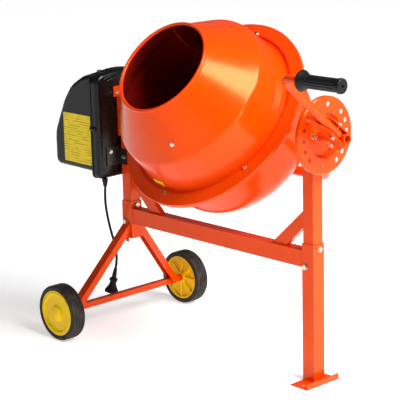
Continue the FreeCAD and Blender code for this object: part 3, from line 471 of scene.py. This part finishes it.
def make_guard():
    """The guard ring: a flat ring with a rim turned down outside and a raised step inside."""
    back = SEAM[0]
    front = back + GUARD_SHEET
    rim = front - GUARD_RIM
    step = front + 1.2
    outline = [
        (back, GUARD_IN), (back, GUARD_OUT - GUARD_SHEET), (rim, GUARD_OUT - GUARD_SHEET),
        (rim - 0.6, GUARD_OUT - 1.4), (rim - 0.6, GUARD_OUT - 0.4), (rim, GUARD_OUT),
        (front - 2.5, GUARD_OUT), (front - 0.8, GUARD_OUT - 0.6), (front, GUARD_OUT - 2.4),
        (front, GUARD_IN + 10), (step, GUARD_IN + 8), (step, GUARD_IN + 1), (step - 0.6, GUARD_IN),
    ]
    lathe("guard_pressing", outline, DRUM_AT, DRUM_AXIS, ORANGE, "drum", ("guard_ring",), around=192,
          smooth=40)


make_cone()
make_bowl()
make_guard()
# The blades inside the drum get the darker paint, which is painted shade.
for name in ("mixing_blade_a", "mixing_blade_b"):
    dress(nodes[name], INSIDE_PAINTED_SHADE)


# ================= wheels =================

def tread(s, r, turn):
    """Cuts shallow blocks into the outer tread."""
    blocks = 36
    deep = 0.9
    if r < WHEEL_R - 1.1:
        return r
    return r - deep * max(0.0, math.sin(blocks * turn)) ** 6


def make_wheel(side, name):
    """A tyre with rounded shoulders and three grooves, and the cap over the axle's end."""
    start = at(AXLE_X, side * WHEEL_OUT, WHEEL_R)
    axis = Vector((0, side, 0))
    back = -WHEEL_WIDE
    seat_r = 65.6
    groove_r = WHEEL_R - 1.6
    tyre = [
        (back, 70.5), (back + 1, seat_r), (-1, seat_r), (-0.2, 67), (0, 68.5), (-0.9, 69.1), (-0.9, 70.1),
        (0, 70.8), (0, 74.6), (-0.8, 77), (-2.6, 79), (-5, 79.9), (-8, WHEEL_R),
    ]
    for s in (-11.2, -21.0, -31.0):
        tyre += [(s, WHEEL_R), (s - 0.6, groove_r), (s - 2, groove_r), (s - 2.6, WHEEL_R)]
    tyre += [(back + 5, 79.9), (back + 2, 78.8), (back + 0.4, 76), (back, 73)]
    lathe(name + "_tread", tyre, start, axis, RUBBER, name + "_wheel", (name + "_tyre",), around=216,
          radius=tread)
    cap = [
        (0, 0.4), (0, 17.3), (1.6, 17.5), (2.4, 17.0), (3.0, 15.8), (3.0, 13.2), (3.8, 12.2), (4.6, 9),
        (5, 4), (5, 0.4),
    ]
    lathe(name + "_dust_cap", cap, start, axis, YELLOW, name + "_wheel", (name + "_cap",), around=72,
          smooth=30)


make_wheel(-1, "near")
make_wheel(1, "far")


# ================= lever grip =================

def flutes(s, r, turn):
    """Long grooves round the handle, between its two collars."""
    count = 14
    deep = 1.1
    first = 26
    last = 114
    if first < s < last and r > LEVER_R + 1:
        return r - deep * (0.5 - 0.5 * math.cos(count * turn)) ** 2
    return r


def make_grip():
    """The lever's grip: a hand guard, a fluted handle, an end collar and a hollow end."""
    long = GRIP_END - GRIP_START
    bore = LEVER_R + 0.1
    handle_r = 16.5
    hollow_s = long - 9.9
    outline = [
        (0, bore), (0, 23.4), (0.8, 25), (2.4, 26), (4.6, 26), (6.4, 25), (10, 22.4), (14, 20), (18, 18.4),
        (22, 17.2), (25, 16.8),
    ]
    for k in range(12):
        outline.append((26.5 + 7.9 * k, handle_r))
    outline += [
        (long - 12.2, 16.8), (long - 10, 18), (long - 9, 18.5), (long - 3, 18.5), (long - 1.2, 18),
        (long, 16.6), (long, 4), (long - 3, 3.2), (hollow_s, 3.2), (hollow_s, bore),
    ]
    lathe("fluted_grip", outline, leaned(LEVER_X + GRIP_START, 0, LEVER_LONG), (1, 0, 0), GRIP, "lever",
          ("lever_grip",), around=168, radius=flutes, smooth=40)


make_grip()


# ================= labels and weld beads =================

def plate(name, corner, wide, high, thick, body):
    """A thin label with clipped corners, from a corner and three edge vectors in metres."""
    cut = 0.002
    a = cut / wide.length
    b = cut / high.length
    outline = []
    for u, v in ((a, 0), (1 - a, 0), (1, b), (1, 1 - b), (1 - a, 1), (a, 1), (0, 1 - b), (0, b)):
        outline.append(corner + wide * u + high * v)
    top = [p + thick for p in outline]
    count = len(outline)
    faces = [tuple(range(count)), tuple(range(count, 2 * count))]
    for k in range(count):
        j = (k + 1) % count
        faces.append((k, j, count + j, count + k))
    piece(name, outline + top, faces, LABEL, body)


def make_box_label():
    """The label on the -Y side of the motor box."""
    left = -540
    low = 477
    wide = Vector((0.122, 0, 0))
    high = Vector((0, 0, 0.144))
    thick = Vector((0, -0.0004, 0))
    plate("box_label", at(left, -SHELL_HALF, low), wide, high, thick, "frame")


def make_band_sticker():
    """The small sticker on the drum's band, which slopes by the angle of this cosine and sine."""
    wide = 0.04
    high = 0.018
    thick = 0.0012
    slope_cos = 0.994
    slope_sin = 0.109
    low_edge = 0.030
    surface_r = 0.2358
    turn = math.radians(-99)
    radial = LEAN @ Vector((math.cos(turn), math.sin(turn), 0))
    round_way = LEAN @ Vector((-math.sin(turn), math.cos(turn), 0))
    corner = DRUM_AT + DRUM_AXIS * low_edge + radial * surface_r - round_way * wide / 2
    up = (DRUM_AXIS * slope_cos - radial * slope_sin) * high
    out = (radial * slope_cos + DRUM_AXIS * slope_sin) * thick
    plate("band_sticker", corner, round_way * wide, up, out, "drum")


make_box_label()
make_band_sticker()


def weld(name, path, body, radius=2.2, look=ORANGE, lump=0.16):
    """A weld bead, or a smooth ridge when lump is 0, along a polyline in metres.

    Two waves of different length swell the bead unevenly, as a hand weld does.
    """
    sides = 8
    step = 0.0016
    end_taper = 0.35
    spots = []
    for a, b in zip(path, path[1:]):
        steps = max(2, int((b - a).length / step))
        for k in range(steps):
            spots.append(a + (b - a) * (k / steps))
    spots.append(path[-1])
    verts = []
    for i, spot in enumerate(spots):
        before = spots[max(0, i - 1)]
        after = spots[min(len(spots) - 1, i + 1)]
        _, side, up = cylinder_frame(after - before)
        swell = radius * (1 + lump * math.sin(i * 1.7) + lump / 2 * math.sin(i * 0.53 + 1))
        if i in (0, len(spots) - 1):
            swell *= end_taper
        for k in range(sides):
            turn = 2 * math.pi * k / sides
            verts.append(spot + (side * math.cos(turn) + up * math.sin(turn)) * swell / 1000)
    faces = [tuple(range(sides)), tuple(range(len(verts) - sides, len(verts)))]
    for i in range(len(spots) - 1):
        a = i * sides
        b = a + sides
        for k in range(sides):
            j = (k + 1) % sides
            faces.append((a + k, a + j, b + j, b + k))
    piece(name, verts, faces, look, body, smooth=60)


def loop(points):
    """A closed path in metres from points in millimetres."""
    return [at(*p) for p in points] + [at(*points[0])]


def make_welds():
    """Weld beads of the stand and the lever bracket."""
    half = POST / 2
    thick = BRACE_THICK / 2
    for side, end in ((-1, "left"), (1, "right")):
        x = side * (POST_X - SLEEVE / 2)
        path = loop([(x, -half, BAR_LOW), (x, half, BAR_LOW), (x, half, BAR_HIGH), (x, -half, BAR_HIGH)])
        weld("weld_bar_" + end, path, "frame")
        x = side * (POST_X - half)
        path = [at(x, -thick, BRACE_LOW), at(x, -thick, BRACE_HIGH), at(x, thick, BRACE_HIGH),
                at(x, thick, BRACE_LOW)]
        weld("weld_brace_post_" + end, path, "frame", 1.8)
        far = side * BRACE_FAR
        near = side * BRACE_NEAR
        path = [at(near, -thick, BAR_HIGH), at(far, -thick, BAR_HIGH), at(far, thick, BAR_HIGH),
                at(near, thick, BAR_HIGH)]
        weld("weld_brace_bar_" + end, path, "frame", 1.8)
    half = SLEEVE / 2
    path = []
    for across, along in ((-1, -1), (1, -1), (1, 1), (-1, 1)):
        path.append((POST_X + across * half, along * half, FOOT_THICK))
    weld("weld_foot", loop(path), "frame")
    radius = YOKE_R + 0.1
    path = []
    for k in range(13):
        turn = math.radians(15 * k)
        path.append(leaned(BRACKET_X + BRACKET_SHEET, radius * math.cos(turn), radius * math.sin(turn)))
    weld("weld_bracket", path, "yoke", 1.6)


def make_box_ridges():
    """Two curved ridges moulded near the top of the motor box's inner face."""
    for name, half in (("box_ridge_outer", [(67, 726), (58, 730), (49, 733), (31, 736), (12, 737.6)]),
                       ("box_ridge_inner", [(55, 720), (46, 724), (35, 727), (20, 729), (8, 730)])):
        path = [at(COVER_X, -y, z) for y, z in half] + [at(COVER_X, y, z) for y, z in reversed(half)]
        weld(name, path, "frame", 1.7, BLACK, 0.0)


make_welds()
make_box_ridges()


# ================= softened edges of the CAD nodes =================

def soften(names, width, segments=3):
    """Rounds the hard edges of CAD nodes by a width in millimetres."""
    for name in names:
        bevel = nodes[name].modifiers.new("soft_edges", "BEVEL")
        bevel.width = width / 1000
        bevel.segments = segments
        bevel.limit_method = "ANGLE"
        bevel.angle_limit = math.radians(40)
        bevel.harden_normals = True


soften(["left_post", "right_post", "left_sleeve", "right_leg", "crossbar"], 2.0)
soften(["near_leg", "far_leg", "axle_beam", "left_brace", "right_brace"], 1.2)
soften(["foot_plate", "motor_plate", "motor_bracket", "near_hub", "far_hub"], 0.8, 2)
soften(["lever_bracket"], 0.4, 2)
soften(["frame_bolts", "mount_bolts", "guard_bolts", "blade_bolts", "pivot_bolt"], 0.4, 2)


# ================= camera, lights and floor =================

def make_camera():
    """The camera, which looks from an azimuth and elevation at a target in millimetres."""
    target = at(-65.2, 0, 416.9)
    distance = 4.1915
    az, el, roll = math.radians(46.97), math.radians(13.78), math.radians(-1.42)
    back = Vector((math.sin(az) * math.cos(el), -math.cos(az) * math.cos(el), math.sin(el)))
    right = Vector((math.cos(az), math.sin(az), 0))
    up = back.cross(right)
    across = right * math.cos(roll) + up * math.sin(roll)
    above = up * math.cos(roll) - right * math.sin(roll)
    data = bpy.data.cameras.new("camera")
    data.lens = 137.33
    data.sensor_width = 36
    data.clip_end = 100
    camera = bpy.data.objects.new("camera", data)
    place = target + back * distance
    camera.matrix_world = Matrix((
        (across.x, above.x, back.x, place.x),
        (across.y, above.y, back.y, place.y),
        (across.z, above.z, back.z, place.z),
        (0, 0, 0, 1),
    ))
    bpy.context.scene.collection.objects.link(camera)
    bpy.context.scene.camera = camera


def make_light(name, place, target, size, power):
    """A white soft box at a place, turned to a target, all in metres and watts."""
    data = bpy.data.lights.new(name, "AREA")
    data.shape = "RECTANGLE"
    data.size, data.size_y = size
    data.energy = power
    light = bpy.data.objects.new(name, data)
    light.location = place
    aim = Vector(target) - Vector(place)
    light.rotation_mode = "QUATERNION"
    light.rotation_quaternion = aim.to_track_quat("-Z", "Y")
    bpy.context.scene.collection.objects.link(light)


def make_floor():
    """A wide pale floor whose glow is less under the mixer, so that it keeps a soft shadow."""
    half = 40
    glow_scale = 0.16
    corners = [(-half, -half, 0), (half, -half, 0), (half, half, 0), (-half, half, 0)]
    mesh = bpy.data.meshes.new("floor")
    mesh.from_pydata(corners, [], [(0, 1, 2, 3)])
    floor = bpy.data.objects.new("floor", mesh)
    bpy.context.scene.collection.objects.link(floor)
    look, tree, shader = material("pale_floor", specular=0.1)
    link_ramp(tree, noise(tree, 0.6, 2), [(0.3, grey(0.84)), (0.7, grey(0.86))], shader.inputs["Base Color"])
    shader.inputs["Roughness"].default_value = 0.9
    shader.inputs["Emission Color"].default_value = (1, 1, 1, 1)
    place = node_of(tree, "ShaderNodeTexCoord")
    mapping = node_of(tree, "ShaderNodeMapping")
    mapping.inputs["Scale"].default_value = grey(glow_scale)
    tree.links.new(place.outputs["Object"], mapping.inputs["Vector"])
    fall = node_of(tree, "ShaderNodeTexGradient", gradient_type="SPHERICAL")
    tree.links.new(mapping.outputs["Vector"], fall.inputs["Vector"])
    link_ramp(tree, fall.outputs["Fac"], [(0.1, 0.86), (0.85, 0.52)], shader.inputs["Emission Strength"])
    floor.data.materials.append(look)


def make_world():
    """A dim white surrounding, shown without tone mapping."""
    world = bpy.data.worlds.new("studio")
    world.use_nodes = True
    background = world.node_tree.nodes["Background"]
    background.inputs["Color"].default_value = (1, 1, 1, 1)
    background.inputs["Strength"].default_value = 0.12
    bpy.context.scene.world = world
    bpy.context.scene.view_settings.view_transform = "Standard"


make_camera()
make_floor()
make_world()
make_light("right_softbox", (2.1, 0.33, 2.6), (0, 0, 0.75), (2.1, 1.5), 200)
make_light("right_low", (3.2, -0.4, 1.0), (0.2, 0, 0.4), (0.7, 1.2), 22)
make_light("front_fill", (0.3, -3.4, 1.6), (0, 0, 0.5), (1.2, 1.4), 4)
make_light("left_strip", (-2.3, 0.85, 0.8), (0, 0, 0.65), (0.25, 1.4), 5)
